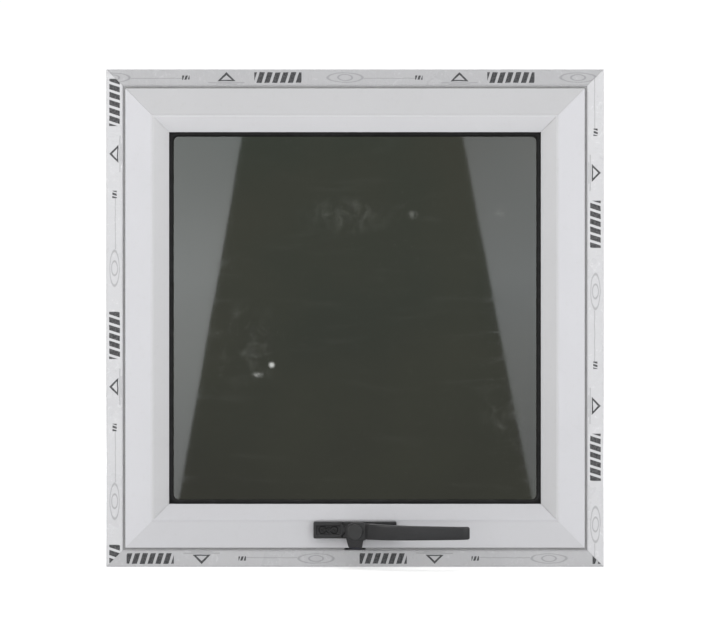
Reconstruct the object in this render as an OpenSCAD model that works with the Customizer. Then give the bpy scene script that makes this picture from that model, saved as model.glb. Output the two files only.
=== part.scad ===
// Top-hung awning window: a mitred aluminium frame, a glazed sash that swings out
// on two friction stays, and a cam handle on the sash's bottom rail.
// The origin is at the centre of the frame's bottom face. +Z is up, +Y is outdoors.
// Ring sections are drawn as [e, v]: e inward from the frame's outer edge, v outward
// from the frame's indoor face.

/* [Frame] */
// Overall width
frame_w = 600; // [560:1:900]
// Overall height
frame_h = 600; // [560:1:900]
// Depth from the indoor face to the outdoor face
frame_d = 52; // [50:1:60]
// Width of the indoor face
frame_face = 20; // [19:0.5:20.5]
// Width left outdoors, beside the rebate
frame_lip = 14; // [13:0.5:14]
// Depth of the indoor part, up to the rebate
rebate_v = 18; // [14:0.5:20]
// Wall thickness of the aluminium profiles
wall = 1.8; // [1.4:0.1:2]

/* [Sash] */
// Gap between frame face and sash face
sash_gap = 3; // [2.8:0.1:4]
// Width of the sash's flat face
sash_face = 32; // [28:0.1:39]
// How far the sash stands proud of the frame indoors
sash_proud = 2; // [1:0.5:3]
// Width of the bevelled glazing bead
bead_w = 20; // [16:1:24]
// Width of rubber seen between bead and glass
gasket_show = 5; // [4:0.5:7]
// Glass thickness
glass_t = 6; // [5:0.5:6]

/* [Stays] */
// Height of the shoe pivot when the sash is closed
shoe_z = 565; // [525:1:565]
// Length of the support arm between its pivots
arm_len = 110; // [100:1:115]
// Width of the stay arms
arm_w = 18; // [15:0.5:18]
// Thickness of the stay arms
arm_t = 2.2; // [2:0.1:2.2]
// Radius of the stay rivets
rivet_r = 3; // [2.5:0.1:3.2]

/* [Handle] */
// Height of the handle's axis
handle_z = 44.8; // [44:0.1:45]
// Length of the base plate
plate_l = 100; // [96:1:120]
// Width of the base plate
plate_w = 20; // [18:0.5:20]
// Thickness of the base plate
plate_t = 7.3; // [6.5:0.1:7.3]
// Reach of the lever from the axis to its tip
lever_l = 136; // [125:1:150]
// Width of the lever at its root
lever_w = 19; // [16:0.5:20]
// Width of the lever at its tip
lever_tip_w = 15; // [12:0.5:16]
// Height of the lever's grip above the sash
lever_high = 60.5; // [55:0.5:66]
// Radius of the handle's pivot pin
pivot_r = 4; // [3:0.1:4.8]
// Reach of the tongue from the axis
tongue_reach = 23; // [20:0.5:23]
// Fixing screws of the handle, from the axis
screw_near = 25; // [24:0.5:27]
screw_far = 39; // [38:0.5:40]

/* [Fixings] */
// Radius of the wall fixing holes in the jambs
fixing_r = 2.75; // [2:0.05:3.5]
// Height of the lower wall fixing hole
fixing_low = 80; // [60:5:120]
// Distance between the two wall fixing holes of a jamb
fixing_pitch = 200; // [150:5:210]

/* [Hidden] */
$fn = 64;
eps = 0.01;
run_fit = 0.08;      // radial clearance of a pin that turns
slide_fit = 0.3;     // clearance between faces that slide past each other
push_fit = 0.1;      // clearance of a piece pushed into a hollow

// Sash edges, inward from the frame's outer edge
sash_e = frame_face + sash_gap;
flat_e = sash_e + sash_face;
bead_e = flat_e + bead_w;
sight_e = bead_e + gasket_show;
glass_e = flat_e + 8;
reach = sight_e + 10;
flange_e = frame_lip + 1.5;
flange_t = 2;

// Depths through the sash
sash_v = -sash_proud;
gasket_t = 4.5;
glass_v = sash_v + 20;
glass_back = glass_v + glass_t;
leg_v = glass_back + 4;
bead_back = glass_v - gasket_t;

// Frame groove for the stay tracks
stay_v = 35;
stay_y = stay_v - frame_d / 2;
groove_half = 11;
groove_e = frame_lip - 6.5;

// Stay: the shoe, elbow and fixed pivots lie on one line when the sash is closed
elbow_z = shoe_z - arm_len;
fixed_z = shoe_z - 2 * arm_len;
track_base = 1.5;
track_half = groove_half - slide_fit;
track_front = frame_lip - 0.2;
lip_slot = 5.5;
shoe_floor = groove_e + track_base + slide_fit;
shoe_top = track_front - track_base - slide_fit;
shoe_half = 17;
neck_half = lip_slot - slide_fit;
sash_arm_e = sash_e - arm_t;
washer_t = 0.4;
support_e = sash_arm_e - washer_t - 0.1 - arm_t;
track_low = fixed_z - 12;
track_high = shoe_z + shoe_half + 1;
screw_r = 2;
screw_head_r = 3.8;
track_screw_z = [fixed_z + 25, elbow_z - 5, elbow_z + 75];
sash_screw_z = [elbow_z - 25, elbow_z + 35, elbow_z + 75];

// Handle heights above the sash face, and its hub
hub_r = 11;
pedestal_r = 7.5;
pedestal_top = 24.6;
collar_low = 25.1;
collar_high = 28.2;
hub_top = 31.9;
key_w = 11;
key_top = 29.7;
cap_r = 9.3;
cap_top = 34.5;
cap_recess_r = 7.9;
cup_r = 4.7;
hole_r = 2.6;
pocket_half = 5.5;
pocket_near = screw_near - 7.5;
pocket_far = screw_far + 7.5;
root_x = 12;
grip_fall = 24;
under_high = lever_high - 9.2;
under_fall = 26;
under_root = 23.5;
under_x = 21;
dip_x = lever_l - 12;
dip_top = 4.5;
dip_under = 1.8;
curve_step = 3;
tongue_low = plate_t + 0.5;
tongue_half = 10.2;
pad_left = -5.5;
pad_right = 6.3;
pad_back = tongue_reach - 4.5;

// ---------- helpers ----------

// The mitred outline of the left member, as a thick slab
module side_wedge() {
    rotate([90, 0, 0])
        linear_extrude(4 * frame_d, center = true)
            polygon([
                [-frame_w / 2, 0], [-frame_w / 2, frame_h],
                [-frame_w / 2 + reach, frame_h - reach], [-frame_w / 2 + reach, reach]
            ]);
}

// The mitred outline of the bottom member, as a thick slab
module sill_wedge() {
    rotate([90, 0, 0])
        linear_extrude(4 * frame_d, center = true)
            polygon([
                [-frame_w / 2, 0], [frame_w / 2, 0],
                [frame_w / 2 - reach, reach], [-frame_w / 2 + reach, reach]
            ]);
}

module left_member() {
    intersection() {
        translate([-frame_w / 2, -frame_d / 2, 0])
            linear_extrude(frame_h) children();
        side_wedge();
    }
}

module bottom_member() {
    intersection() {
        translate([0, -frame_d / 2, 0])
            rotate([0, -90, 0])
                linear_extrude(frame_w, center = true) children();
        sill_wedge();
    }
}

module right_member() { mirror([1, 0, 0]) left_member() children(); }

module top_member() {
    translate([0, 0, frame_h]) mirror([0, 0, 1]) bottom_member() children();
}

// A rectangular ring between e0 and e1, and v0 and v1
module ring(e0, e1, v0, v1) {
    translate([0, v0 - frame_d / 2, frame_h / 2])
        rotate([-90, 0, 0])
            linear_extrude(v1 - v0)
                difference() {
                    square([frame_w - 2 * e0, frame_h - 2 * e0], center = true);
                    square([frame_w - 2 * e1, frame_h - 2 * e1], center = true);
                }
}

// An angle piece that fills the hollow between e0 and e1 at the bottom left corner
module cleat(e0, e1, v0, v1, leg) {
    translate([-frame_w / 2, v0 - frame_d / 2, 0]) {
        translate([e0, 0, e0]) cube([leg, v1 - v0, e1 - e0]);
        translate([e0, 0, e0]) cube([e1 - e0, v1 - v0, leg]);
    }
}

module four_corners() {
    for (side = [0, 1]) {
        mirror([side, 0, 0]) children();
        translate([0, 0, frame_h]) mirror([0, 0, 1]) mirror([side, 0, 0]) children();
    }
}

module both_sides() {
    children();
    mirror([1, 0, 0]) children();
}

// Places a child whose +Z points inward from the left jamb, at pivot depth
module at_stay(e, z) {
    translate([e - frame_w / 2, stay_y, z]) rotate([0, 90, 0]) children();
}

// A flat bar with round ends between two pivots
module stay_bar(e, z_low, z_high) {
    at_stay(e, z_low) cylinder(r = arm_w / 2, h = arm_t);
    at_stay(e, z_high) cylinder(r = arm_w / 2, h = arm_t);
    translate([e - frame_w / 2, stay_y - arm_w / 2, z_low])
        cube([arm_t, arm_w, z_high - z_low]);
}

// A countersunk screw along +Z, with its head's face at z = 0
module countersunk(r, head_r, length) {
    cylinder(r1 = head_r, r2 = r, h = head_r - r);
    cylinder(r = r, h = length);
}

module rounded_rect(l, w, r) {
    square([l - 2 * r, w], center = true);
    square([l, w - 2 * r], center = true);
    for (x = [-1, 1], y = [-1, 1])
        translate([x * (l / 2 - r), y * (w / 2 - r)]) circle(r);
}

// Handle space: +X along the lever, +Y up the sash, +Z out of its indoor face
module at_handle() {
    translate([0, sash_v - frame_d / 2, handle_z]) rotate([90, 0, 0]) children();
}

module at_handle_screws() {
    for (side = [-1, 1], x = [screw_near, screw_far])
        translate([side * x, 0, 0]) children();
}

// ---------- frame ----------

module frame_section() {
    difference() {
        polygon([
            [0, 0], [frame_face, 0], [frame_face, rebate_v], [frame_lip, rebate_v],
            [frame_lip, stay_v - groove_half], [groove_e, stay_v - groove_half],
            [groove_e, stay_v + groove_half], [frame_lip, stay_v + groove_half],
            [frame_lip, frame_d], [0, frame_d]
        ]);
        translate([wall, wall])
            square([frame_face - 2 * wall, rebate_v - 2 * wall]);
        polygon([
            [wall, rebate_v], [frame_lip - wall, rebate_v],
            [frame_lip - wall, stay_v - groove_half - wall],
            [groove_e - wall, stay_v - groove_half - wall],
            [groove_e - wall, stay_v + groove_half + wall],
            [frame_lip - wall, stay_v + groove_half + wall],
            [frame_lip - wall, frame_d - wall], [wall, frame_d - wall]
        ]);
    }
}

module frame_head() {
    color("whitesmoke") top_member() frame_section();
}

drain_x = 180;
drain_w = 26;
module frame_sill() {
    color("whitesmoke")
        difference() {
            bottom_member() frame_section();
            for (side = [-1, 1])
                translate([side * drain_x - drain_w / 2, frame_d / 2 - 2 * wall, 4.5])
                    cube([drain_w, 3 * wall, 5]);
        }
}

module frame_jamb() {
    difference() {
        left_member() frame_section();
        for (z = [fixing_low, fixing_low + fixing_pitch])
            at_stay(-eps, z) cylinder(r = fixing_r, h = groove_e + 2 * eps);
        for (z = track_screw_z)
            at_stay(0, z) translate([0, 0, wall]) cylinder(r = screw_r, h = groove_e);
    }
}

module frame_jamb_left() { color("whitesmoke") frame_jamb(); }
module frame_jamb_right() { color("whitesmoke") mirror([1, 0, 0]) frame_jamb(); }

module frame_corner_cleats() {
    color("silver")
        four_corners()
            cleat(wall + push_fit, frame_face - wall - push_fit,
                  wall + push_fit, rebate_v - wall - push_fit, 45);
}

// Grey rubber ring that narrows the joint round the sash, left open under the tongue
seal_slit = 0.8;
seal_front = 1.5;
seal_deep = 3;
module frame_seal() {
    tongue_room = 2 * tongue_half + 5;
    color([0.6, 0.6, 0.6])
        difference() {
            ring(frame_face, sash_e - seal_slit, seal_front, seal_front + seal_deep);
            translate([-tongue_room / 2, -frame_d, 0])
                cube([tongue_room, 2 * frame_d, sash_e]);
        }
}

film_t = 0.2;
film_inset = 0.4;
module film_section() {
    translate([film_inset, -film_t]) square([frame_face - 2 * film_inset, film_t]);
}
module film_head() { color("lightgray") top_member() film_section(); }
module film_sill() { color("lightgray") bottom_member() film_section(); }
module film_jamb_left() { color("lightgray") left_member() film_section(); }
module film_jamb_right() { color("lightgray") right_member() film_section(); }

// Snap-on hoods over the drain slots, open at the bottom
module drain_covers() {
    hood_w = drain_w + 8;
    color("whitesmoke")
        for (side = [-1, 1])
            translate([side * drain_x - hood_w / 2, frame_d / 2, 2])
                difference() {
                    cube([hood_w, 3, 10]);
                    translate([1.5, -eps, -eps]) cube([hood_w - 3, 1.8, 8.5]);
                }
}

// ---------- friction stays ----------

module track_section() {
    polygon([
        [groove_e, -track_half], [track_front, -track_half], [track_front, -lip_slot],
        [track_front - track_base, -lip_slot],
        [track_front - track_base, track_base - track_half],
        [groove_e + track_base, track_base - track_half],
        [groove_e + track_base, track_half - track_base],
        [track_front - track_base, track_half - track_base],
        [track_front - track_base, lip_slot], [track_front, lip_slot],
        [track_front, track_half], [groove_e, track_half]
    ]);
}

module stay_track_left() {
    color("silver")
        difference() {
            translate([-frame_w / 2, stay_y, track_low])
                linear_extrude(track_high - track_low) track_section();
            for (z = track_screw_z)
                at_stay(groove_e + track_base, z)
                    mirror([0, 0, 1]) countersunk(screw_r, screw_head_r - 0.5, track_base + 1);
            at_stay(groove_e - eps, fixed_z) cylinder(r = rivet_r, h = track_base + 1);
        }
}

module stay_track_right() { mirror([1, 0, 0]) stay_track_left(); }

module stay_track_screws() {
    color("silver")
        both_sides()
            for (z = track_screw_z)
                at_stay(groove_e + track_base, z)
                    mirror([0, 0, 1])
                        intersection() {
                            countersunk(screw_r, screw_head_r - 0.5, 6.5);
                            cylinder(r = screw_head_r, h = 6.5);
                        }
}

// Spacer boss on the track, with the rivet that the support arm turns on
module stay_fixed_pivots() {
    color("silver")
        both_sides() {
            at_stay(groove_e + track_base, fixed_z)
                cylinder(r = neck_half, h = support_e - 0.1 - groove_e - track_base);
            at_stay(groove_e, fixed_z)
                cylinder(r = rivet_r, h = support_e + arm_t + 1.2 - groove_e);
            at_stay(support_e + arm_t + 0.1, fixed_z) cylinder(r = 5, h = 1.2);
        }
}

module stay_arm_left() {
    color("gainsboro")
        difference() {
            stay_bar(support_e, fixed_z, elbow_z);
            for (z = [fixed_z, elbow_z])
                at_stay(support_e - 1, z) cylinder(r = rivet_r + run_fit, h = arm_t + 2);
        }
}

module stay_arm_right() { mirror([1, 0, 0]) stay_arm_left(); }

module sash_arm_left() {
    color("gainsboro")
        difference() {
            stay_bar(sash_arm_e, elbow_z - 34, shoe_z);
            at_stay(sash_arm_e - 1, elbow_z) cylinder(r = rivet_r, h = arm_t + 2);
            at_stay(sash_arm_e - 1, shoe_z) cylinder(r = rivet_r + run_fit, h = arm_t + 2);
            for (z = sash_screw_z)
                at_stay(sash_arm_e, z) countersunk(screw_r, screw_head_r, arm_t + 1);
        }
}

module sash_arm_right() { mirror([1, 0, 0]) sash_arm_left(); }

module sash_arm_screws() {
    color("silver")
        both_sides()
            for (z = sash_screw_z)
                at_stay(sash_arm_e, z) countersunk(screw_r, screw_head_r, 10);
}

module stay_elbow_rivets() {
    color("silver")
        both_sides() {
            at_stay(support_e - 1.5, elbow_z)
                cylinder(r = rivet_r, h = 1.5 + arm_t + washer_t + 0.1 + arm_t);
            at_stay(support_e - 1.5, elbow_z) cylinder(r = 5, h = 1.4);
        }
}

module stay_washers() {
    color("ivory")
        both_sides()
            at_stay(sash_arm_e - washer_t - 0.05, elbow_z)
                difference() {
                    cylinder(r = 7, h = washer_t);
                    translate([0, 0, -1]) cylinder(r = rivet_r + run_fit, h = 3);
                }
}

module stay_shoe_left() {
    color("dimgray") {
        translate([shoe_floor - frame_w / 2, stay_y - track_half + track_base + slide_fit,
                   shoe_z - shoe_half])
            cube([shoe_top - shoe_floor, 2 * (track_half - track_base - slide_fit),
                  2 * shoe_half]);
        translate([shoe_floor - frame_w / 2, stay_y - neck_half, shoe_z - 8])
            cube([support_e - 0.3 - shoe_floor, 2 * neck_half, 16]);
        at_stay(shoe_floor, shoe_z)
            cylinder(r = neck_half, h = sash_arm_e - slide_fit - shoe_floor);
        at_stay(shoe_floor, shoe_z)
            cylinder(r = rivet_r, h = sash_e - 0.2 - shoe_floor);
    }
}

module stay_shoe_right() { mirror([1, 0, 0]) stay_shoe_left(); }

// ---------- sash ----------

module sash_section() {
    difference() {
        polygon([
            [sash_e, sash_v], [flat_e, sash_v], [flat_e, leg_v], [bead_e - 2, leg_v],
            [bead_e - 2, leg_v + 6], [flat_e + 4, frame_d], [flange_e, frame_d],
            [flange_e, frame_d - flange_t], [sash_e, frame_d - flange_t]
        ]);
        translate([sash_e + wall, sash_v + wall])
            square([sash_face - 2 * wall, frame_d - sash_v - 2 * wall]);
        polygon([
            [flat_e, leg_v + wall], [bead_e - 2 - wall, leg_v + wall],
            [bead_e - 2 - wall, leg_v + 5.2], [flat_e + 3, frame_d - wall],
            [flat_e, frame_d - wall]
        ]);
    }
}

module sash_top_rail() { color("white") top_member() sash_section(); }

module sash_bottom_rail() {
    color("white")
        difference() {
            bottom_member() sash_section();
            at_handle()
                at_handle_screws()
                    translate([0, 0, -2 * wall]) cylinder(r = screw_r, h = 3 * wall);
        }
}

module sash_stile() {
    difference() {
        left_member() sash_section();
        for (z = sash_screw_z)
            at_stay(sash_e - eps, z) cylinder(r = screw_r, h = 2 * wall);
    }
}

module sash_stile_left() { color("white") sash_stile(); }
module sash_stile_right() { color("white") mirror([1, 0, 0]) sash_stile(); }

module sash_corner_cleats() {
    color("silver")
        four_corners()
            cleat(sash_e + wall + push_fit, flat_e - wall - push_fit,
                  sash_v + wall + 8, frame_d - wall - 8, 38);
}

module bead_section() {
    difference() {
        polygon([
            [flat_e, sash_v], [flat_e + 2, sash_v], [bead_e, bead_back - 2.5],
            [bead_e, bead_back], [flat_e, bead_back]
        ]);
        polygon([
            [flat_e + 1.5, sash_v + 2.4], [flat_e + 1.5, bead_back - 1.5],
            [bead_e - 3.5, bead_back - 1.5]
        ]);
    }
}

module glazing_bead_top() { color("white") top_member() bead_section(); }
module glazing_bead_bottom() { color("white") bottom_member() bead_section(); }
module glazing_bead_left() { color("white") left_member() bead_section(); }
module glazing_bead_right() { color("white") right_member() bead_section(); }

module bead_gasket() {
    color([0.08, 0.08, 0.08]) ring(bead_e - 9, sight_e, bead_back, glass_v);
}

module outer_gasket() {
    color([0.08, 0.08, 0.08]) ring(glass_e + 1, bead_e - 1, glass_back, leg_v);
}

module glass_pane() {
    color([0.25, 0.26, 0.24])
        translate([glass_e - frame_w / 2, glass_v - frame_d / 2, glass_e])
            cube([frame_w - 2 * glass_e, glass_t, frame_h - 2 * glass_e]);
}

// Two plastic blocks on each edge keep the glass centred in the sash
module setting_blocks() {
    block_l = 60;
    edge = glass_e - flat_e;
    color("dimgray")
        for (side = [-1, 1]) {
            for (z = [flat_e, frame_h - glass_e])
                translate([side * frame_w / 5 - block_l / 2, glass_v - frame_d / 2, z])
                    cube([block_l, glass_t, edge]);
            for (x = [flat_e - frame_w / 2, frame_w / 2 - glass_e])
                translate([x, glass_v - frame_d / 2,
                           frame_h / 2 + side * frame_h / 5 - block_l / 2])
                    cube([edge, glass_t, block_l]);
        }
}

// Rubber fin behind the outdoor flange
module weather_seal() {
    fin_back = frame_d - flange_t - 0.4;
    color([0.1, 0.1, 0.1]) ring(flange_e - 0.2, sash_e, fin_back - 2.4, fin_back);
}

// ---------- handle ----------

// Base plate with a sunk pocket at each end, two screw cups in each, and a round
// pedestal that the hub turns on
module handle_base_plate() {
    pin_head = 2.5;
    color([0.14, 0.14, 0.15])
        at_handle()
            difference() {
                union() {
                    linear_extrude(plate_t) rounded_rect(plate_l, plate_w, 1.5);
                    cylinder(r1 = 9.6, r2 = 8.8, h = plate_t + 2);
                    cylinder(r = pedestal_r, h = pedestal_top);
                }
                for (side = [-1, 1])
                    translate([side * (pocket_near + pocket_far) / 2, 0, 4.6])
                        linear_extrude(plate_t)
                            rounded_rect(pocket_far - pocket_near, 2 * pocket_half, 0.8);
                for (side = [-1, 1])
                    translate([side * (screw_near + screw_far) / 2, 0, 3.2])
                        rotate([0, 0, 45]) cube([6, 6, 4], center = true);
                at_handle_screws() {
                    translate([0, 0, 2.2]) cylinder(r = cup_r, h = plate_t);
                    translate([0, 0, -eps]) cylinder(r = hole_r, h = plate_t);
                }
                for (side = [-1, 1], edge = [-1, 1])
                    translate([side * 13.4, edge * 6.4, plate_t])
                        rotate([0, 0, side * edge * 48]) cube([5.4, 2.6, 3], center = true);
                translate([0, 0, -eps]) cylinder(r = pivot_r, h = pedestal_top + 1);
                translate([0, 0, -eps]) cylinder(r = pivot_r + 2.5, h = pin_head + eps);
            }
}

module handle_screws() {
    head_h = 2;
    color([0.1, 0.1, 0.1])
        at_handle()
            at_handle_screws()
                difference() {
                    union() {
                        translate([0, 0, 2.2]) cylinder(r = 3.9, h = head_h);
                        translate([0, 0, -14]) cylinder(r = screw_r, h = 17);
                    }
                    for (turn = [45, 135])
                        rotate([0, 0, turn])
                            translate([0, 0, 2.2 + head_h])
                                cube([4.4, 0.9, 2.4], center = true);
                }
}

clip_low = key_top + 0.4;
module handle_pivot_pin() {
    color("silver")
        at_handle()
            difference() {
                union() {
                    cylinder(r = pivot_r + 2.5, h = 2.5);
                    cylinder(r = pivot_r, h = hub_top - 0.6);
                }
                translate([0, 0, clip_low])
                    difference() {
                        cylinder(r = pivot_r + 1, h = 0.8);
                        cylinder(r = pivot_r - 0.8, h = 0.8);
                    }
            }
}

module washer(z, r_out, thick) {
    translate([0, 0, z])
        difference() {
            cylinder(r = r_out, h = thick);
            translate([0, 0, -1]) cylinder(r = pivot_r, h = thick + 2);
        }
}

module handle_friction_washer() {
    color("ivory") at_handle() washer(pedestal_top, pedestal_r, 0.4);
}

module handle_disc_spring() {
    color("silver") at_handle() washer(key_top + 0.05, 6.6, 0.35);
}

// Snap ring in the groove of the pin, open on one side
module handle_circlip() {
    color("gray")
        at_handle()
            translate([0, 0, clip_low])
                difference() {
                    cylinder(r = 6.2, h = 0.8);
                    translate([0, 0, -1]) cylinder(r = pivot_r - 0.8, h = 3);
                    translate([2, -2.6, -1]) cube([6, 5.2, 3]);
                }
}

function lever_dip(x) = pow(max(0, x - dip_x) / (lever_l - dip_x), 2);
function grip_top(x) =
    lever_high - (lever_high - hub_top) * exp(-(x - root_x) / grip_fall)
    - dip_top * lever_dip(x);
function grip_under(x) =
    under_high - (under_high - under_root) * exp(-(x - under_x) / under_fall)
    - dip_under * lever_dip(x);

// Side view of the lever, X along it and Y up
module lever_profile() {
    polygon(concat(
        [[0, collar_high], [tongue_half + 0.4, collar_high],
         [tongue_half + 0.4, under_root]],
        [for (x = [under_x : curve_step : lever_l]) [x, grip_under(x)]],
        [[lever_l, grip_under(lever_l)]],
        [for (x = [lever_l : -curve_step : root_x + 1]) [x, grip_top(x)]],
        [[root_x, hub_top], [0, hub_top]]
    ));
}

// Plan of the lever, tapering from root to tip
module lever_plan() {
    w = lever_w / 2;
    tip = lever_tip_w / 2;
    polygon([
        [0, -w], [40, -w + 0.7], [lever_l - 2, -tip], [lever_l, -tip + 2],
        [lever_l, tip - 2], [lever_l - 2, tip], [40, w - 0.7], [0, w]
    ]);
}

module hub_plan() {
    circle(hub_r);
    polygon([
        [0, -hub_r], [9.5, -hub_r], [13, 1.5 - hub_r],
        [13, hub_r - 1.5], [9.5, hub_r], [0, hub_r]
    ]);
}

module handle_lever() {
    color([0.16, 0.16, 0.17])
        at_handle()
            difference() {
                union() {
                    intersection() {
                        rotate([90, 0, 0])
                            linear_extrude(4 * hub_r, center = true) lever_profile();
                        linear_extrude(2 * lever_high) lever_plan();
                    }
                    translate([0, 0, collar_high])
                        linear_extrude(hub_top - collar_high) hub_plan();
                }
                cube([key_w + 2 * push_fit, key_w + 2 * push_fit, 2 * key_top],
                     center = true);
                translate([0, 0, key_top]) cylinder(r = cap_recess_r, h = 5);
            }
}

// Plan of the tongue, with a round lead-in at its left corner
module tongue_plan() {
    lead = 10.7;
    polygon(concat(
        [[-tongue_half - 0.6, 0], [-tongue_half - 0.4, -9]],
        [for (a = [0 : 15 : 90])
            [2.5 - lead * cos(a), -(tongue_reach - 4.5) - 4.5 * sin(a)]],
        [[8.2, -tongue_reach], [tongue_half, -9], [tongue_half, 0]]
    ));
}

// Side view of the tongue: X across the handle, Y up
module tongue_profile() {
    polygon([
        [-6, collar_high], [-hub_r, collar_high], [-hub_r, collar_low + 0.4],
        [-tongue_reach + 1.4, 12], [-tongue_reach, 10.2], [-tongue_reach, tongue_low],
        [-16.8, tongue_low], [-16.8, 11.5], [-8.4, collar_low], [-6, collar_low]
    ]);
}

module tongue_blank() {
    intersection() {
        rotate([90, 0, 90])
            linear_extrude(4 * hub_r, center = true) tongue_profile();
        linear_extrude(collar_high + 1) tongue_plan();
    }
}

module pad_pocket() {
    translate([pad_left, -tongue_reach - 5, 0])
        cube([pad_right - pad_left, tongue_reach + 5 - pad_back, 13.2]);
}

module handle_tongue() {
    color([0.15, 0.15, 0.16])
        at_handle()
            difference() {
                union() {
                    difference() {
                        tongue_blank();
                        pad_pocket();
                    }
                    translate([0, 0, collar_low])
                        linear_extrude(collar_high - collar_low)
                            intersection() {
                                hub_plan();
                                translate([-2 * hub_r, -2 * hub_r])
                                    square([2 * hub_r + tongue_half, 4 * hub_r]);
                            }
                    translate([0, 0, (collar_high + key_top) / 2])
                        cube([key_w, key_w, key_top - collar_high], center = true);
                }
                translate([0, 0, collar_low - 1]) cylinder(r = pivot_r + run_fit, h = 8);
            }
}

// Nylon pad in the tongue's tip
module handle_tongue_pad() {
    color([0.1, 0.1, 0.16])
        at_handle()
            intersection() {
                tongue_blank();
                pad_pocket();
                translate([0, 0.3, 0]) linear_extrude(collar_high) tongue_plan();
            }
}

module handle_cap() {
    color([0.18, 0.18, 0.18])
        at_handle()
            translate([0, 0, hub_top])
                rotate_extrude()
                    polygon([
                        [0, 0.4], [cap_recess_r - 1, 0.4], [cap_recess_r - 1, -0.9],
                        [cap_recess_r, -0.9], [cap_recess_r, 0], [cap_r, 0],
                        [cap_r, cap_top - hub_top - 0.7], [cap_r - 0.7, cap_top - hub_top],
                        [0, cap_top - hub_top]
                    ]);
}

frame_head();
frame_sill();
frame_jamb_left();
frame_jamb_right();
frame_corner_cleats();
frame_seal();
film_head();
film_sill();
film_jamb_left();
film_jamb_right();
drain_covers();
stay_track_left();
stay_track_right();
stay_track_screws();
stay_fixed_pivots();
stay_arm_left();
stay_arm_right();
sash_top_rail();
sash_bottom_rail();
sash_stile_left();
sash_stile_right();
sash_corner_cleats();
glazing_bead_top();
glazing_bead_bottom();
glazing_bead_left();
glazing_bead_right();
bead_gasket();
outer_gasket();
glass_pane();
setting_blocks();
weather_seal();
sash_arm_left();
sash_arm_right();
sash_arm_screws();
stay_elbow_rivets();
stay_washers();
stay_shoe_left();
stay_shoe_right();
handle_base_plate();
handle_screws();
handle_pivot_pin();
handle_friction_washer();
handle_disc_spring();
handle_circlip();
handle_lever();
handle_tongue();
handle_tongue_pad();
handle_cap();
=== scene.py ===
import math

import bmesh
import bpy
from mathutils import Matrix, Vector, noise


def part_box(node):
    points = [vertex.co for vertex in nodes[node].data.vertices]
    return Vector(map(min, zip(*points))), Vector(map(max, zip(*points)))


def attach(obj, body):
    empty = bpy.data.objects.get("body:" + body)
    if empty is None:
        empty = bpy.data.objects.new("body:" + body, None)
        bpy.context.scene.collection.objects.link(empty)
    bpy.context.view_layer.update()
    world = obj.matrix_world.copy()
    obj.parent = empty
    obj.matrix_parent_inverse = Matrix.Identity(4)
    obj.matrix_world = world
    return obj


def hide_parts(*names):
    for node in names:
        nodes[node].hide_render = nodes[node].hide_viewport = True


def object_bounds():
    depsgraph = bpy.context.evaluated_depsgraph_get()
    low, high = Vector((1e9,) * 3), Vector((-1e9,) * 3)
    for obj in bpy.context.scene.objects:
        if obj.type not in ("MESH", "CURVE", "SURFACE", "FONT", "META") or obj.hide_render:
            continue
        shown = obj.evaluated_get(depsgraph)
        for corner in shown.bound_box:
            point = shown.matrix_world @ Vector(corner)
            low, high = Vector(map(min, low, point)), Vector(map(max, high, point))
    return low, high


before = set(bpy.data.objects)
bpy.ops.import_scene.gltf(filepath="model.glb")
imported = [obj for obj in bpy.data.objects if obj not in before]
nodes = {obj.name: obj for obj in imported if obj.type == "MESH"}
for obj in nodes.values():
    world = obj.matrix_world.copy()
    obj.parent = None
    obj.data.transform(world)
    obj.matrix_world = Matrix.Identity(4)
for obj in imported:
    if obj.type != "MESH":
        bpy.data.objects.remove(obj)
cad_low, cad_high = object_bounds()
MM = 0.001


def mm(x, y, z):
    return Vector((x, y, z)) * MM


# ---------- materials ----------


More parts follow.
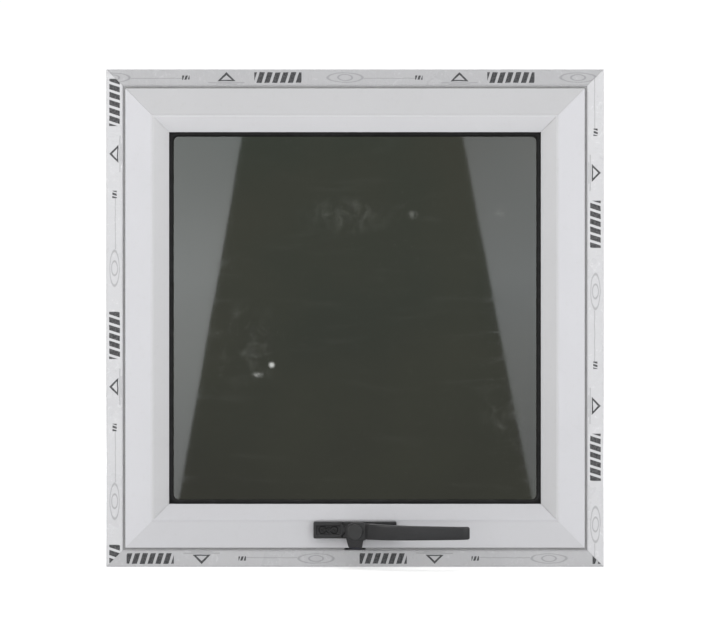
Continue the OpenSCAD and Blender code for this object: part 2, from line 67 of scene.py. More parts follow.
class Shader:
    """A Principled material whose patterns follow the part's own coordinates, in metres."""

    def __init__(self, name, **values):
        self.mat = bpy.data.materials.new(name)
        self.mat.use_nodes = True
        self.tree = self.mat.node_tree
        self.bsdf = next(n for n in self.tree.nodes if n.type == "BSDF_PRINCIPLED")
        self.place = self.node("ShaderNodeTexCoord").outputs["Object"]
        for key, value in values.items():
            self.bsdf.inputs[key.replace("_", " ")].default_value = value

    def node(self, kind, **props):
        made = self.tree.nodes.new(kind)
        for key, value in props.items():
            setattr(made, key, value)
        return made

    def feed(self, target, value):
        """Links a socket, or sets a plain value."""
        if isinstance(value, bpy.types.NodeSocket):
            self.tree.links.new(value, target)
        else:
            target.default_value = value

    def put(self, key, value):
        self.feed(self.bsdf.inputs[key], value)

    def scaled(self, x, y, z):
        """The part's coordinates, scaled on each axis."""
        made = self.node("ShaderNodeMapping")
        self.feed(made.inputs["Vector"], self.place)
        made.inputs["Scale"].default_value = (x, y, z)
        return made.outputs["Vector"]

    def noise(self, scale, detail=3.0, rough=0.5, at=None, warp=0.0):
        made = self.node("ShaderNodeTexNoise")
        self.feed(made.inputs["Vector"], at or self.place)
        made.inputs["Scale"].default_value = scale
        made.inputs["Detail"].default_value = detail
        made.inputs["Roughness"].default_value = rough
        made.inputs["Distortion"].default_value = warp
        return made.outputs["Fac"]

    def cells(self, scale, at=None):
        made = self.node("ShaderNodeTexVoronoi")
        self.feed(made.inputs["Vector"], at or self.place)
        made.inputs["Scale"].default_value = scale
        return made.outputs["Distance"]

    def span(self, value, low, high, out_low=0.0, out_high=1.0):
        """Maps low..high to out_low..out_high, clamped."""
        made = self.node("ShaderNodeMapRange")
        for key, number in (("From Min", low), ("From Max", high),
                            ("To Min", out_low), ("To Max", out_high)):
            made.inputs[key].default_value = number
        self.feed(made.inputs["Value"], value)
        return made.outputs["Result"]

    def math(self, operation, a, b=0.0):
        made = self.node("ShaderNodeMath", operation=operation)
        self.feed(made.inputs[0], a)
        self.feed(made.inputs[1], b)
        return made.outputs[0]

    def along(self, direction, origin=(0, 0, 0)):
        """Distance from origin along a direction, in millimetres."""
        made = self.node("ShaderNodeVectorMath", operation="DOT_PRODUCT")
        self.feed(made.inputs[0], self.place)
        made.inputs[1].default_value = Vector(direction) / MM
        shift = -Vector(direction).dot(Vector(origin)) / MM
        return self.math("ADD", made.outputs["Value"], shift)

    def mix(self, factor, a, b):
        made = self.node("ShaderNodeMix", data_type="RGBA")
        self.feed(made.inputs[0], factor)
        self.feed(made.inputs[6], a)
        self.feed(made.inputs[7], b)
        return made.outputs[2]

    def bump(self, height, depth):
        """Relief of the given depth, in metres."""
        made = self.node("ShaderNodeBump")
        made.inputs["Distance"].default_value = depth
        self.feed(made.inputs["Height"], height)
        return made.outputs["Normal"]

    def less(self, value, limit, soft=0.25):
        """1 below the limit and 0 above it, with an edge as soft as twice soft."""
        return self.span(value, limit - soft, limit + soft, 1.0, 0.0)

    def all_of(self, *masks):
        made = masks[0]
        for mask in masks[1:]:
            made = self.math("MULTIPLY", made, mask)
        return made

    def any_of(self, *masks):
        made = masks[0]
        for mask in masks[1:]:
            made = self.math("MAXIMUM", made, mask)
        return made


def grey(value, blue=1.0, warm=1.0):
    """A grey, with its blue and its red scaled."""
    return (value * warm, value, value * blue, 1)


def powder_coat(name, tone, blue):
    """Satin white powder coat: fine orange peel, faint cloudiness and a little dust."""
    s = Shader(name, Roughness=0.34)
    cloud = s.noise(9, 3, 0.55)
    dust = s.span(s.noise(160, 4, 0.7), 0.56, 0.8)
    white = s.mix(cloud, grey(tone * 0.965, blue), grey(tone * 1.03, blue))
    s.put("Base Color", s.mix(s.math("MULTIPLY", dust, 0.22), white, grey(tone * 0.8, 0.97)))
    s.put("Roughness", s.span(s.noise(60, 3, 0.6), 0.3, 0.7, 0.3, 0.42))
    peel = s.noise(900, 2, 0.5)
    grain = s.cells(2600)
    s.put("Normal", s.bump(s.math("ADD", peel, s.math("MULTIPLY", grain, 0.35)), 0.00006))
    return s.mat


# The print on the film, in millimetres along the strip from a triangle's middle
PRINT_PITCH = 281.0
PRINT_LEAD = 40.0  # the repeat begins this far before the triangle
BARS_AT, BARS_HALF = 62.0, 28.5
OVALS_AT = 143.0
LINE_AT, LINE_HALF = 197.0, 31.0
DASH_AT, DASH_HALF = 232.0, 4.5
BAR_LEAN = 0.32
PRINT_WOBBLE = 1.6


def film(name, tone, u_dir, v_dir, origin):
    """Translucent protective film with small wrinkles and a generic print.

    The print runs along u_dir from origin and its top faces v_dir: a small triangle on a
    ground line, slanted bars, two thin ovals, a thin line and a short dash of small bars."""
    s = Shader(name, Roughness=0.3, Specular_IOR_Level=0.45)
    cloud = s.noise(14, 4, 0.6)
    crease = s.noise(120, 3, 0.7, warp=1.6)
    base = s.mix(cloud, grey(tone * 0.93, 1.03), grey(tone * 1.06, 1.02))
    base = s.mix(s.span(crease, 0.58, 0.72, 0, 0.35), base, grey(min(1, tone * 1.4), 1.02))

    wobble = s.math("MULTIPLY", s.math("SUBTRACT", s.noise(90, 2), 0.5), PRINT_WOBBLE)
    v = s.math("ADD", s.along(v_dir, origin), wobble)
    # Whole pitches are added to keep the sum positive, as MODULO needs
    run = s.math("ADD", s.along(u_dir, origin), PRINT_LEAD + 4 * PRINT_PITCH)
    u = s.math("SUBTRACT", s.math("MODULO", run, PRINT_PITCH), PRINT_LEAD)
    u_size = s.math("ABSOLUTE", u)
    v_size = s.math("ABSOLUTE", v)

    def near(value, centre, half):
        return s.less(s.math("ABSOLUTE", s.math("SUBTRACT", value, centre)), half)

    def oval(centre, half_u, half_v, line):
        a = s.math("POWER", s.math("DIVIDE", s.math("SUBTRACT", u, centre), half_u), 2.0)
        b = s.math("POWER", s.math("DIVIDE", v, half_v), 2.0)
        edge = s.math("ABSOLUTE", s.math("SUBTRACT", s.math("SQRT", s.math("ADD", a, b)), 1.0))
        return s.less(edge, line, 0.04)

    def slanted(pitch, width):
        lean = s.math("SUBTRACT", u, s.math("MULTIPLY", v, BAR_LEAN))
        return s.less(s.math("MODULO", s.math("ADD", lean, 100.0 * pitch), pitch), width)

    def triangle(half, low, high):
        slope = half / (high - low)
        side = s.math("ADD", u_size, s.math("MULTIPLY", v, slope))
        return s.all_of(s.less(side, high * slope), s.less(s.math("MULTIPLY", v, -1.0), -low))

    bars = s.all_of(near(u, BARS_AT, BARS_HALF), s.less(v_size, 6.4), slanted(9.5, 6.3))
    peak = s.math("SUBTRACT", triangle(11.0, -4.5, 6.5), triangle(6.5, -3.0, 3.0))
    ground = s.any_of(
        s.all_of(near(v, -6.4, 0.55), s.less(u_size, 22.0)),
        s.all_of(near(v, -8.0, 0.4), s.less(u_size, 13.0)))
    dash = s.all_of(near(u, DASH_AT, DASH_HALF), s.less(v_size, 2.6), slanted(4.2, 2.7))
    dark = s.any_of(bars, s.math("MAXIMUM", peak, 0.0), dash)
    thin = s.any_of(ground, oval(OVALS_AT, 21.0, 5.6, 0.075), oval(OVALS_AT, 8.5, 3.6, 0.14),
                    s.all_of(near(u, LINE_AT, LINE_HALF), near(v, -1.0, 0.45)))
    patchy = s.span(s.noise(420, 3, 0.7), 0.25, 0.6, 0.76, 0.98)
    base = s.mix(s.math("MULTIPLY", thin, 0.42), base, grey(0.16, 1.06))
    base = s.mix(s.math("MULTIPLY", dark, patchy), base, grey(0.022, 1.1))
    s.put("Base Color", base)
    s.put("Roughness", s.span(cloud, 0.3, 0.7, 0.22, 0.42))
    fold = s.noise(70, 3, 0.6, at=s.scaled(*(1.0 if abs(d) < 0.5 else 2.4 for d in u_dir)))
    s.put("Normal", s.bump(s.math("ADD", fold, s.math("MULTIPLY", crease, 0.3)), 0.0011))
    return s.mat


def rubber(name, tone, bloomed=2.6):
    """Matt rubber with patches of bloom, whose tone is bloomed times the rubber's."""
    s = Shader(name, Specular_IOR_Level=0.3)
    bloom = s.span(s.noise(130, 4, 0.65), 0.45, 0.8)
    s.put("Base Color", s.mix(bloom, grey(tone), grey(tone * bloomed, 1.04)))
    s.put("Roughness", s.span(s.noise(45, 2), 0.3, 0.7, 0.48, 0.7))
    s.put("Normal", s.bump(s.noise(1400, 3, 0.6), 0.00005))
    return s.mat


def tinted_glass():
    """Dark float glass, with hand smudges, faint wipe marks and a few specks of dust."""
    s = Shader("tinted_glass", IOR=1.5)
    cloud = s.noise(5, 2, 0.5)
    wipe = s.span(s.noise(26, 4, 0.6, at=s.scaled(0.35, 1, 2.2), warp=0.8), 0.56, 0.78)
    # Painted shade: the tint is darker and less green low on the pane than high up.
    high = s.span(s.along((0, 0, 1)), 70.0, 530.0)
    tint = s.mix(high, (0.090, 0.090, 0.074, 1), (0.088, 0.104, 0.082, 1))
    tint = s.mix(s.span(cloud, 0.35, 0.65), tint, (0.104, 0.108, 0.084, 1))

    def spot(x, z, half_x, half_z, scale, low, top):
        """A ragged smudge round a point of the pane."""
        a = s.math("POWER", s.math("DIVIDE", s.along((1, 0, 0), mm(x, 0, 0)), half_x), 2.0)
        b = s.math("POWER", s.math("DIVIDE", s.along((0, 0, 1), mm(0, 0, z)), half_z), 2.0)
        inside = s.span(s.math("SQRT", s.math("ADD", a, b)), 0.35, 1.0, 1.0, 0.0)
        ragged = s.span(s.noise(scale, 4, 0.65, warp=0.7), low, low + 0.2)
        return s.math("MULTIPLY", s.math("MULTIPLY", inside, ragged), top)

    marks = s.any_of(
        spot(-130, 268, 52, 58, 46, 0.5, 0.20),
        spot(-101, 243, 5, 5, 300, 0.2, 0.95),
        spot(-118, 231, 9, 5, 220, 0.35, 0.5),
        spot(70, 425, 8, 7, 160, 0.4, 0.32),
        spot(176, 427, 8, 7, 160, 0.4, 0.32),
        spot(-12, 424, 66, 26, 60, 0.46, 0.17),
        spot(186, 180, 40, 60, 50, 0.52, 0.12))
    specks = s.math("MULTIPLY", s.less(s.cells(170), 0.07, 0.03), 0.3)
    haze = s.any_of(marks, specks, s.math("MULTIPLY", wipe, 0.05))
    s.put("Base Color", s.mix(haze, tint, (0.46, 0.47, 0.45, 1)))
    s.put("Transmission Weight", s.span(haze, 0, 1, 1.0, 0.0))
    s.put("Roughness", s.span(s.math("ADD", haze, s.math("MULTIPLY", wipe, 0.06)),
                              0, 1, 0.02, 0.35))
    s.put("Normal", s.bump(s.noise(7, 1), 0.00003))
    return s.mat


def cast_black(name, tone, blue=1.05):
    """Satin black powder coat on a casting: soft orange peel, dust, and thin edges made paler as a
    painted highlight.
    """
    s = Shader(name, Specular_IOR_Level=0.5)
    # Painted highlight: the sharpest edges are made paler, standing in for sheen on them.
    edge = s.span(s.node("ShaderNodeNewGeometry").outputs["Pointiness"], 0.53, 0.62, 0, 0.4)
    cloud = s.noise(55, 4, 0.6)
    dust = s.span(s.noise(420, 4, 0.75), 0.6, 0.85, 0, 0.35)
    base = s.mix(cloud, grey(tone * 0.8, blue), grey(tone * 1.25, blue))
    base = s.mix(edge, base, grey(tone * 2.4, blue))
    s.put("Base Color", s.mix(dust, base, grey(tone * 3.2, 1.02)))
    s.put("Roughness", s.span(s.noise(150, 3, 0.6), 0.3, 0.7, 0.3, 0.43))
    peel = s.math("ADD", s.noise(1100, 2, 0.5), s.math("MULTIPLY", s.noise(3200, 1), 0.4))
    s.put("Normal", s.bump(peel, 0.00007))
    return s.mat


def metal(name, tone, rough, streak, blue=1.0):
    """Metal with fine drawing or rolling streaks along an axis, and dull patches."""
    s = Shader(name, Metallic=1.0)
    lines = s.noise(1500, 3, 0.6, at=s.scaled(*streak))
    dull = s.span(s.noise(70, 4, 0.65), 0.4, 0.75)
    base = s.mix(lines, grey(tone * 0.86, blue), grey(tone * 1.08, blue))
    s.put("Base Color", s.mix(s.math("MULTIPLY", dull, 0.4), base, grey(tone * 0.66, blue, 1.02)))
    s.put("Roughness", s.math("ADD", s.span(lines, 0.3, 0.7, rough - 0.07, rough + 0.07),
                              s.math("MULTIPLY", dull, 0.12)))
    s.put("Normal", s.bump(lines, 0.00003))
    return s.mat


def nylon(name, colour, rough=0.42):
    """Moulded nylon with flow marks."""
    s = Shader(name)
    flow = s.noise(80, 3, 0.6, at=s.scaled(1, 1, 0.4))
    dim = tuple(c * 0.72 for c in colour[:3]) + (1,)
    s.put("Base Color", s.mix(s.span(flow, 0.35, 0.7), colour, dim))
    s.put("Roughness", s.span(flow, 0.3, 0.7, rough - 0.07, rough + 0.1))
    s.put("Normal", s.bump(s.noise(1800, 2, 0.6), 0.00004))
    return s.mat


# Painted light and shade: the rails, stiles and beads get lit and shaded copies of the one white
# coat. The rails are darker than the stiles, the top rail darker than the bottom one and the top
# bead paler than the bottom one, standing in for how light falls on each member.
coat_frame = powder_coat("coat_frame", 0.60, 1.03)
coat_rail_top = powder_coat("coat_rail_top", 0.495, 1.02)
coat_rail_low = powder_coat("coat_rail_low", 0.535, 1.035)
coat_stile = powder_coat("coat_stile", 0.585, 1.04)
coat_bead_side = powder_coat("coat_bead_side", 0.555, 1.02)
coat_bead_top = powder_coat("coat_bead_top", 0.565, 1.03)
coat_bead_low = powder_coat("coat_bead_low", 0.54, 1.04)
aluminium = metal("mill_aluminium", 0.72, 0.38, (1, 1, 0.05))
aluminium_cleat = metal("mill_aluminium_cleat", 0.66, 0.45, (0.6, 0.05, 0.6))
stay_steel = metal("stay_steel", 0.62, 0.28, (1, 1, 0.04))
zinc_steel = metal("zinc_steel", 0.58, 0.32, (1, 1, 1), 1.04)
spring_steel = metal("spring_steel", 0.2, 0.35, (1, 1, 1))
screw_black = metal("black_screw", 0.07, 0.36, (1, 1, 1))
gasket_black = rubber("black_rubber", 0.006)
seal_black = rubber("black_rubber_seal", 0.009)
seal_grey = rubber("grey_rubber", 0.42, 0.8)
handle_black = cast_black("black_cast", 0.022)
cap_black = cast_black("black_cast_cap", 0.028, 1.0)
pad_nylon = nylon("black_nylon", (0.016, 0.017, 0.032, 1), 0.34)
block_nylon = nylon("grey_nylon", (0.09, 0.09, 0.092, 1))
shoe_nylon = nylon("grey_nylon_shoe", (0.17, 0.17, 0.175, 1))
cover_nylon = nylon("white_nylon_cover", (0.72, 0.72, 0.7, 1))
washer_nylon = nylon("white_nylon", (0.76, 0.74, 0.68, 1))
glass = tinted_glass()

PAINT = {
    "frame_head": coat_frame, "frame_sill": coat_frame,
    "frame_jamb_left": coat_frame, "frame_jamb_right": coat_frame,
    "frame_corner_cleats": aluminium_cleat, "frame_seal": seal_grey,
    "drain_covers": cover_nylon,
    "stay_track_left": aluminium, "stay_track_right": aluminium,
    "stay_track_screws": zinc_steel, "stay_fixed_pivots": zinc_steel,
    "stay_arm_left": stay_steel, "stay_arm_right": stay_steel,
    "sash_top_rail": coat_rail_top, "sash_bottom_rail": coat_rail_low,
    "sash_stile_left": coat_stile, "sash_stile_right": coat_stile,
    "sash_corner_cleats": aluminium_cleat,
    "glazing_bead_top": coat_bead_top, "glazing_bead_bottom": coat_bead_low,
    "glazing_bead_left": coat_bead_side, "glazing_bead_right": coat_bead_side,
    "outer_gasket": gasket_black, "glass_pane": glass, "setting_blocks": block_nylon,
    "weather_seal": seal_black,
    "sash_arm_left": stay_steel, "sash_arm_right": stay_steel,
    "sash_arm_screws": zinc_steel, "stay_elbow_rivets": zinc_steel,
    "stay_washers": washer_nylon,
    "stay_shoe_left": shoe_nylon, "stay_shoe_right": shoe_nylon,
    "handle_base_plate": handle_black, "handle_screws": screw_black,
    "handle_pivot_pin": zinc_steel, "handle_friction_washer": washer_nylon,
    "handle_disc_spring": spring_steel, "handle_circlip": spring_steel,
    "handle_tongue": handle_black, "handle_tongue_pad": pad_nylon,
    "handle_cap": cap_black,
}


def paint(obj, material):
    obj.data.materials.clear()
    obj.data.materials.append(material)


for name, material in PAINT.items():
    paint(nodes[name], material)


# ---------- edges of the carried-over CAD pieces ----------

PROFILE_EDGE = 0.0004
COVER_EDGE = 0.0005
FITTING_EDGE = 0.00025
PIN_EDGE = 0.00015  # narrow enough for the pin's 0.4 mm land over the snap ring
CAST_VOXEL = 0.00035
PAD_VOXEL = 0.0003


def weld(obj):
    made = obj.modifiers.new("weld", "WELD")
    made.merge_threshold = 0.00001


def soften(obj, width, segments=2):
    """Joins the triangles into flat faces and rounds the sharp edges."""
    weld(obj)
    flat = obj.modifiers.new("flat_faces", "DECIMATE")
    flat.decimate_type = "DISSOLVE"
    flat.angle_limit = math.radians(0.6)
    edge = obj.modifiers.new("edges", "BEVEL")
    edge.width = width
    edge.segments = segments
    edge.limit_method = "ANGLE"
    edge.angle_limit = math.radians(32)
    obj.data.shade_smooth()
    normals = obj.modifiers.new("normals", "WEIGHTED_NORMAL")
    normals.keep_sharp = False
    normals.weight = 90


def cast(obj, voxel, rounds):
    """Turns a solid into one smooth skin with rounded edges and filleted corners."""
    weld(obj)
    skin = obj.modifiers.new("skin", "REMESH")
    skin.mode = "VOXEL"
    skin.voxel_size = voxel
    skin.use_smooth_shade = True
    ease = obj.modifiers.new("ease", "SMOOTH")
    ease.factor = 0.5
    ease.iterations = rounds


PROFILE_NAMES = ("frame_head", "frame_sill", "frame_jamb", "sash_top", "sash_bottom",
                 "sash_stile", "glazing_bead")
PROFILES = [name for name in nodes if name.startswith(PROFILE_NAMES)]
for name in PROFILES + ["handle_cap"]:
    soften(nodes[name], PROFILE_EDGE)
soften(nodes["drain_covers"], COVER_EDGE)
soften(nodes["handle_pivot_pin"], PIN_EDGE)
for name in ("stay_arm_left", "stay_arm_right", "sash_arm_left", "sash_arm_right",
             "stay_track_left", "stay_track_right", "stay_shoe_left", "stay_shoe_right",
             "stay_fixed_pivots", "stay_elbow_rivets", "handle_screws", "glass_pane",
             "weather_seal", "outer_gasket", "frame_seal"):
    soften(nodes[name], FITTING_EDGE)
cast(nodes["handle_base_plate"], CAST_VOXEL, 3)
cast(nodes["handle_tongue"], CAST_VOXEL, 4)
cast(nodes["handle_tongue_pad"], PAD_VOXEL, 3)


# ---------- pieces built here ----------


def add_mesh(name, bm, material):
    """Turns a finished bmesh into an object of the scene."""
    bmesh.ops.recalc_face_normals(bm, faces=bm.faces)
    data = bpy.data.meshes.new(name)
    bm.to_mesh(data)
    bm.free()
    data.shade_smooth()
    data.materials.append(material)
    obj = bpy.data.objects.new(name, data)
    bpy.context.scene.collection.objects.link(obj)
    return obj


def loft(bm, sections, closed=False):
    """Skins a list of point rings, with a cap at each end unless it closes on itself."""
    rings = [[bm.verts.new(p) for p in points] for points in sections]
    count = len(rings[0])
    pairs = list(zip(rings, rings[1:]))
    if closed:
        pairs.append((rings[-1], rings[0]))
    for a, b in pairs:
        for i in range(count):
            j = (i + 1) % count
            bm.faces.new((a[i], a[j], b[j], b[i]))
    if not closed:
        bm.faces.new(rings[0][::-1])
        bm.faces.new(rings[-1])


# Protective film: four thin, slightly wrinkled strips on the frame's indoor face
film_head_low, film_head_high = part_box("film_head")
film_back = film_head_high.y
film_front = film_head_low.y
film_outer = film_head_high.x
film_width = film_head_high.z - film_head_low.z
film_top = film_head_high.z
FILM_STEPS = 420
FILM_ROWS = 14
FOLD_LIFT = 0.00022
RIPPLE_LIFT = 0.00009


def hash_of(text):
    """A fixed small number for a name, used to vary the wrinkles."""
    return sum(ord(c) * (i + 3) for i, c in enumerate(text)) % 97


def film_strip(name, node, material, u_dir, v_dir, corner):
    """A strip along u_dir; v_dir points to the frame's outer edge, where corner lies."""
    bm = bmesh.new()
    u_dir, v_dir = Vector(u_dir), Vector(v_dir)
    seed = Vector((hash_of(node), 0, 0))
    length = 2 * film_outer
    grid_front, grid_back = [], []
    for i in range(FILM_STEPS + 1):
        share = i / FILM_STEPS
        front, back = [], []
        for k in range(FILM_ROWS + 1):
            e = film_width * k / FILM_ROWS
            reach = e + share * (length - 2 * e)
            at = corner + u_dir * reach - v_dir * e
            # Long folds along the strip, and short ripples over them
            uv = Vector((reach * 30, e * 110, 0)) + seed
            fold = noise.noise(uv) + 0.5 * noise.noise(uv * 2.3)
            ripple = noise.noise(Vector((reach * 260, e * 45, 5)) + seed)
            lift = FOLD_LIFT * max(0, fold) + RIPPLE_LIFT * max(0, ripple)
            rim = min(1, 4 * min(k, FILM_ROWS - k) / FILM_ROWS + 0.25)
            front.append(bm.verts.new((at.x, film_front - lift * rim, at.z)))
            back.append(bm.verts.new((at.x, film_back, at.z)))
        grid_front.append(front)
        grid_back.append(back)
    for i in range(FILM_STEPS):
        for k in range(FILM_ROWS):
            for grid in (grid_front, grid_back):
                bm.faces.new((grid[i][k], grid[i + 1][k], grid[i + 1][k + 1], grid[i][k + 1]))
        for k in (0, FILM_ROWS):
            bm.faces.new((grid_front[i][k], grid_back[i][k],
                          grid_back[i + 1][k], grid_front[i + 1][k]))
    for k in range(FILM_ROWS):
        for i in (0, FILM_STEPS):
            bm.faces.new((grid_front[i][k], grid_back[i][k],
                          grid_back[i][k + 1], grid_front[i][k + 1]))
    obj = add_mesh(name, bm, material)
    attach(obj, "frame")
    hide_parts(node)


# Each strip's print is counted from the middle of one of its triangles
RIGHT, LEFT, UP, DOWN = (1, 0, 0), (-1, 0, 0), (0, 0, 1), (0, 0, -1)
film_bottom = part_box("film_sill")[0].z
half_w = film_width / 2
film_head_mid = mm(-155, 0, 0) + Vector((0, 0, film_top - half_w))
film_sill_mid = mm(96, 0, 0) + Vector((0, 0, film_bottom + half_w))
film_left_mid = mm(0, 0, 217) + Vector((-film_outer + half_w, 0, 0))
film_right_mid = mm(0, 0, 475) + Vector((film_outer - half_w, 0, 0))
# Painted shade: the head and sill strips get darker film than the jamb strips, for how light falls
# on them.
film_strip("film_strip_head", "film_head",
           film("printed_film_head", 0.43, RIGHT, UP, film_head_mid),
           RIGHT, UP, Vector((-film_outer, 0, film_top)))
film_strip("film_strip_sill", "film_sill",
           film("printed_film_sill", 0.465, LEFT, DOWN, film_sill_mid),
           LEFT, DOWN, Vector((film_outer, 0, film_bottom)))
film_strip("film_strip_left", "film_jamb_left",
           film("printed_film_left", 0.60, UP, LEFT, film_left_mid),
           UP, LEFT, Vector((-film_outer, 0, film_bottom)))
film_strip("film_strip_right", "film_jamb_right",
           film("printed_film_right", 0.60, DOWN, RIGHT, film_right_mid),
           DOWN, RIGHT, Vector((film_outer, 0, film_top)))


# Bead gasket: a soft lip in front of the glass, with rounded inner corners
gasket_low, gasket_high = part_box("bead_gasket")
bead_back = gasket_low.y
glass_front = gasket_high.y
SIGHT_HALF = 0.22  # half the width of the glass that shows
SIGHT_CORNER = 0.006
GASKET_CORNER = 0.014
LIP_RISE = 0.0012
window_mid = (cad_low.z + cad_high.z) / 2


def ring_path(half, radius, steps=8):
    """Points of a square with rounded corners, as (x, z) from its middle."""
    made = []
    for quarter in range(4):
        base = quarter * math.pi / 2
        cx = (half - radius) * (1 if quarter in (0, 3) else -1)
        cz = (half - radius) * (1 if quarter in (0, 1) else -1)
        for step in range(steps + 1):
            a = base + step / steps * math.pi / 2
            made.append((cx + radius * math.cos(a), cz + radius * math.sin(a)))
    return made


def gasket_ring():
    bm = bmesh.new()
    lip = bead_back - LIP_RISE
    sections = []
    inner = ring_path(SIGHT_HALF, SIGHT_CORNER)
    outer = ring_path(gasket_high.x, GASKET_CORNER)
    for (ix, iz), (ox, oz) in zip(inner, outer):
        def at(share, y):
            return (ix + (ox - ix) * share, y, window_mid + iz + (oz - iz) * share)
        sections.append([
            at(0.0, glass_front), at(0.0, bead_back + LIP_RISE), at(0.03, bead_back + 0.0002),
            at(0.09, lip + 0.0003), at(0.17, lip), at(0.26, lip + 0.0002),
            at(0.335, lip + 0.0009), at(0.36, bead_back), at(1.0, bead_back),
            at(1.0, glass_front)])
    loft(bm, sections, closed=True)
    obj = add_mesh("bead_gasket_ring", bm, gasket_black)
    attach(obj, "sash")
    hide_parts("bead_gasket")


gasket_ring()


# Handle lever: a smooth cast grip that grows out of the hub
plate_low, plate_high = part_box("handle_base_plate")
lever_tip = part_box("handle_lever")[1].x
sash_face_y = plate_high.y
axis_z = (plate_low.z + plate_high.z) / 2
# In millimetres, from the part's own source
LEVER_L = lever_tip / MM
LEVER_HIGH = 60.5
UNDER_HIGH = 51.3
HUB_TOP = 31.9
HUB_LOW = 28.2
HUB_R = 11.0
HUB_END = 13
HUB_END_HALF = 9.5
RECESS_R = 7.95
RECESS_LOW = 29.6
KEY_HALF = 5.65
ROOT_UNDER = 23.5
TOP_FROM, TOP_FALL = 12, 24
UNDER_FROM, UNDER_FALL = 21, 26
DIP_L = 12
DIP_TOP, DIP_UNDER = 4.5, 1.8
GRIP_HALF = 9.5
GRIP_MID = 40
ROOT_NARROWS, TIP_NARROWS = 0.7, 1.3
GRIP_FROM = 10.6
GRIP_STEP = 1.5
TIP_L = 3
EDGE_R = 1.3
CROWN = 0.25
LEVER_VOXEL = 0.0004  # in metres


def from_handle(x, y, z):
    """Handle millimetres, X along the lever and Z out of the sash, as part coordinates."""
    return Vector((x * MM, sash_face_y - z * MM, axis_z + y * MM))


def lever_dip(x):
    """How far the dip at the lever's end has gone, from 0 to 1."""
    return (max(0, x - LEVER_L + DIP_L) / DIP_L) ** 2


def grip_top(x):
    if x < TOP_FROM:
        return HUB_TOP
    rise = (LEVER_HIGH - HUB_TOP) * math.exp(-(x - TOP_FROM) / TOP_FALL)
    return LEVER_HIGH - rise - DIP_TOP * lever_dip(x)


def grip_under(x):
    if x < UNDER_FROM:
        return ROOT_UNDER
    rise = (UNDER_HIGH - ROOT_UNDER) * math.exp(-(x - UNDER_FROM) / UNDER_FALL)
    return UNDER_HIGH - rise - DIP_UNDER * lever_dip(x)


def grip_half(x):
    """Half the grip's width."""
    if x < GRIP_MID:
        return GRIP_HALF - ROOT_NARROWS * x / GRIP_MID
    return GRIP_HALF - ROOT_NARROWS - TIP_NARROWS * (x - GRIP_MID) / (LEVER_L - 42)


def rounded_section(x, half, low, high, radius, crown):
    """One upright cross-section: flat sides, round edges and a slightly crowned top."""
    points = []
    r = min(radius, half - 0.1, (high - low) / 2 - 0.05)
    for cx, cz, start in ((1, 1, 0), (-1, 1, 90), (-1, -1, 180), (1, -1, 270)):
        for step in range(5):
            a = math.radians(start + step * 22.5)
            y = cx * (half - r) + r * math.cos(a)
            z = ((high if cz > 0 else low) - cz * r) + r * math.sin(a)
            points.append((x, y, z))
        if start == 0:
            points += [(x, half * across, high + crown * (1 - across * across))
                       for across in (0.6, 0.3, 0, -0.3, -0.6)]
    return [from_handle(*p) for p in points]


def hub_stations():
    """The hub as a ring of upright sections: a round recess for the cap over a square hole."""
    outline = [(HUB_R * math.cos(math.radians(a)), HUB_R * math.sin(math.radians(a)))
               for a in (90 + 7.5 * i for i in range(25))]
    outline += [(9.5, -HUB_R), (10.55, -10.55)]
    outline += [(HUB_END, HUB_END_HALF * i / 4) for i in range(-4, 5)]
    outline += [(10.55, 10.55), (9.5, HUB_R)]
    stations = []
    for x, y in outline:
        reach = math.hypot(x, y)
        square = min(RECESS_R, KEY_HALF / max(abs(x), abs(y)) * reach)
        path = [(reach - inset, z) for z, inset in (
            (HUB_LOW, 0.35), (HUB_LOW + 0.35, 0), (HUB_TOP - 0.5, 0), (HUB_TOP - 0.15, 0.15),
            (HUB_TOP, 0.5))]
        path += [(RECESS_R, HUB_TOP), (RECESS_R, RECESS_LOW), (square, RECESS_LOW),
                 (square, HUB_LOW)]
        stations.append([from_handle(x / reach * r, y / reach * r, z) for r, z in path])
    return stations


def lever():
    bm = bmesh.new()
    # Places along the grip, each with how full its section is: less towards the tip
    places = []
    x = GRIP_FROM
    while x < LEVER_L - TIP_L:
        places.append((x, 1.0))
        x += GRIP_STEP
    for share in (0.0, 0.25, 0.45, 0.62, 0.76, 0.87, 0.95, 1.0):
        places.append((LEVER_L - TIP_L + TIP_L * share, math.sqrt(1 - share ** 2 * 0.93)))
    rings = []
    for x, full in places:
        half = grip_half(x) - 1.9 * (1 - full)
        low = grip_under(x) + 0.5 * (1 - full)
        high = grip_top(x) - 1.3 * (1 - full)
        rings.append(rounded_section(x, half, low, high, EDGE_R, CROWN * full))
    loft(bm, rings)
    loft(bm, hub_stations(), closed=True)
    obj = add_mesh("lever_casting", bm, handle_black)
    cast(obj, LEVER_VOXEL, 3)
    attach(obj, "handle")
    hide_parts("handle_lever")


lever()


# ---------- stage, lights and camera ----------

scene = bpy.context.scene
scene.view_settings.view_transform = "Standard"
scene.view_settings.look = "None"
MID = Vector((0, 0, window_mid))


FLOOR_SIZE = 14
FLOOR_DROP = 0.0005
s = Shader("studio_floor", Roughness=0.9)
s.put("Base Color", s.mix(s.noise(3, 2), (0.93, 0.93, 0.93, 1), (0.95, 0.95, 0.95, 1)))
s.put("Specular IOR Level", 0.1)
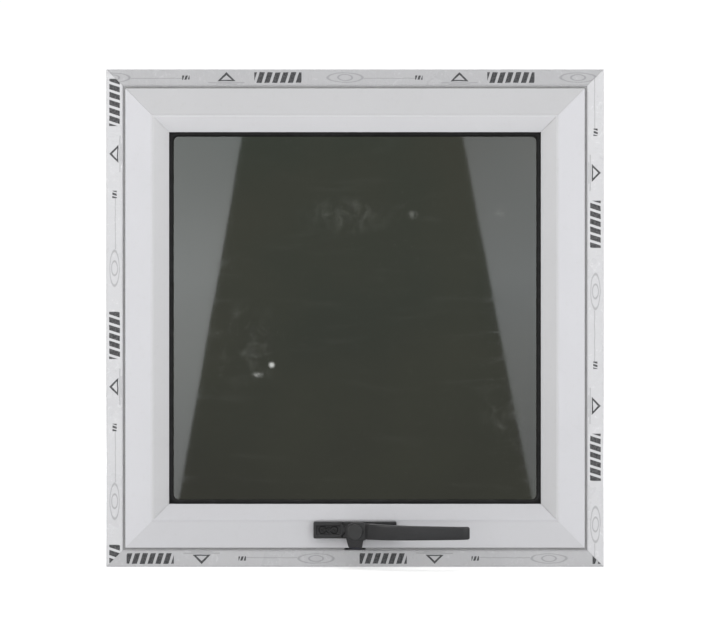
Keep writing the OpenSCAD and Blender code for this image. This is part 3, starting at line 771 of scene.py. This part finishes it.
# The floor glows as well as reflects: painted light, weaker near the window so its shadow shows
# and stronger far off so the floor reads white.
s.put("Emission Color", (1, 1, 1, 1))
away = s.math("SQRT", s.math("ADD", s.math("POWER", s.along((1, 0, 0)), 2.0),
                             s.math("POWER", s.along((0, 1, 0)), 2.0)))
s.put("Emission Strength", s.span(away, 500.0, 2600.0, 0.34, 0.68))
bm = bmesh.new()
bmesh.ops.create_grid(bm, x_segments=8, y_segments=8, size=FLOOR_SIZE / 2)
floor = add_mesh("studio_floor", bm, s.mat)
floor.location = (0, 0, -FLOOR_DROP)
floor.visible_glossy = False
floor.visible_transmission = False

CAMERA_AWAY = 3.2
CARD_AWAY = 4.6
CARD_MID = 420


def card_point(x, z):
    """The point of the card plane that a camera in front sees mirrored in the glass at x, z."""
    grow = (CAMERA_AWAY + CARD_AWAY) / CAMERA_AWAY
    return Vector((x * MM * grow, -CARD_AWAY, window_mid + (z * MM - window_mid) * grow))


def card_glow(name, colour, low, high):
    """Emission that is strongest at the card's middle height."""
    s = Shader(name)
    s.put("Base Color", (0, 0, 0, 1))
    s.put("Emission Color", colour)
    away = s.math("ABSOLUTE", s.along((0, 0, 1), mm(0, 0, CARD_MID)))
    cloud = s.span(s.noise(1.2, 2), 0.3, 0.7, 0.9, 1.1)
    s.put("Emission Strength", s.math("MULTIPLY", s.span(away, 0, 750, high, low), cloud))
    s.put("Roughness", 1.0)
    s.put("Specular IOR Level", 0.0)
    return s.mat


def card(name, corners, colour, low, high):
    """A soft grey card behind the camera, which shows only in what it is mirrored by."""
    bm = bmesh.new()
    bm.faces.new([bm.verts.new(card_point(*c)) for c in corners])
    bmesh.ops.subdivide_edges(bm, edges=bm.edges, cuts=6, use_grid_fill=True)
    obj = add_mesh(name, bm, card_glow(name, colour, low, high))
    obj.visible_camera = False
    obj.visible_diffuse = False
    obj.visible_shadow = False
    obj.visible_transmission = False


# Mirrored in the pane: a dark upright trapezoid between two paler wedges
card("card_dark", [(-131, 540), (124, 540), (220, 40), (-218, 40)], (0.9, 1, 0.9, 1), 0.08, 0.16)
card("card_left", [(-400, 540), (-131, 540), (-218, 40), (-400, 40)], (0.96, 1, 1.03, 1), 2.3, 3.9)
card("card_right", [(124, 540), (400, 540), (400, 40), (220, 40)], (0.96, 1, 1.05, 1), 1.5, 2.9)

world = bpy.data.worlds.new("studio")
scene.world = world
world.use_nodes = True
tree = world.node_tree
backdrop = tree.nodes["Background"]
backdrop.inputs["Color"].default_value = (1, 1, 1, 1)


def world_span(value, low, high, out_low, out_high):
    """Shader.span for the world's own nodes, giving the node itself."""
    made = tree.nodes.new("ShaderNodeMapRange")
    for key, number in (("From Min", low), ("From Max", high),
                        ("To Min", out_low), ("To Max", out_high)):
        made.inputs[key].default_value = number
    tree.links.new(value, made.inputs["Value"])
    return made


# White behind the object; as a light it is softer, and paler overhead than low down
rays = tree.nodes.new("ShaderNodeLightPath")
sky = tree.nodes.new("ShaderNodeTexCoord")
split = tree.nodes.new("ShaderNodeSeparateXYZ")
tree.links.new(sky.outputs["Generated"], split.inputs["Vector"])
soft = world_span(split.outputs["Z"], -0.6, 0.9, 0.3, 0.58)
strength = world_span(rays.outputs["Is Camera Ray"], 0, 1, 0, 1.05)
tree.links.new(soft.outputs["Result"], strength.inputs["To Min"])
tree.links.new(strength.outputs["Result"], backdrop.inputs["Strength"])


def area_light(name, place, size, watts, colour=(1, 1, 1)):
    data = bpy.data.lights.new(name, "AREA")
    data.shape = "RECTANGLE"
    data.size, data.size_y = size
    data.energy = watts
    data.color = colour
    obj = bpy.data.objects.new(name, data)
    obj.location = place
    obj.rotation_euler = (MID - Vector(place)).to_track_quat("-Z", "Y").to_euler()
    scene.collection.objects.link(obj)


area_light("key_left", (-2.3, -2.2, 1.5), (1.6, 1.8), 25, (1, 0.99, 0.98))
area_light("fill_right", (2.5, -2.0, 1.1), (1.6, 1.8), 21, (0.98, 0.99, 1))
area_light("top_soft", (0, -0.3, 3.0), (2.4, 2.0), 34)
area_light("back_soft", (0, 2.8, 2.0), (2.4, 1.8), 30)

SHOWN_WIDTH = 0.84
SENSOR = 36
camera_data = bpy.data.cameras.new("camera")
camera = bpy.data.objects.new("camera", camera_data)
scene.collection.objects.link(camera)
camera_data.sensor_width = SENSOR
camera_data.lens = SENSOR * CAMERA_AWAY / SHOWN_WIDTH
camera.location = (0, -CAMERA_AWAY + cad_low.y, window_mid)
camera.rotation_euler = (math.radians(90), 0, 0)
scene.camera = camera
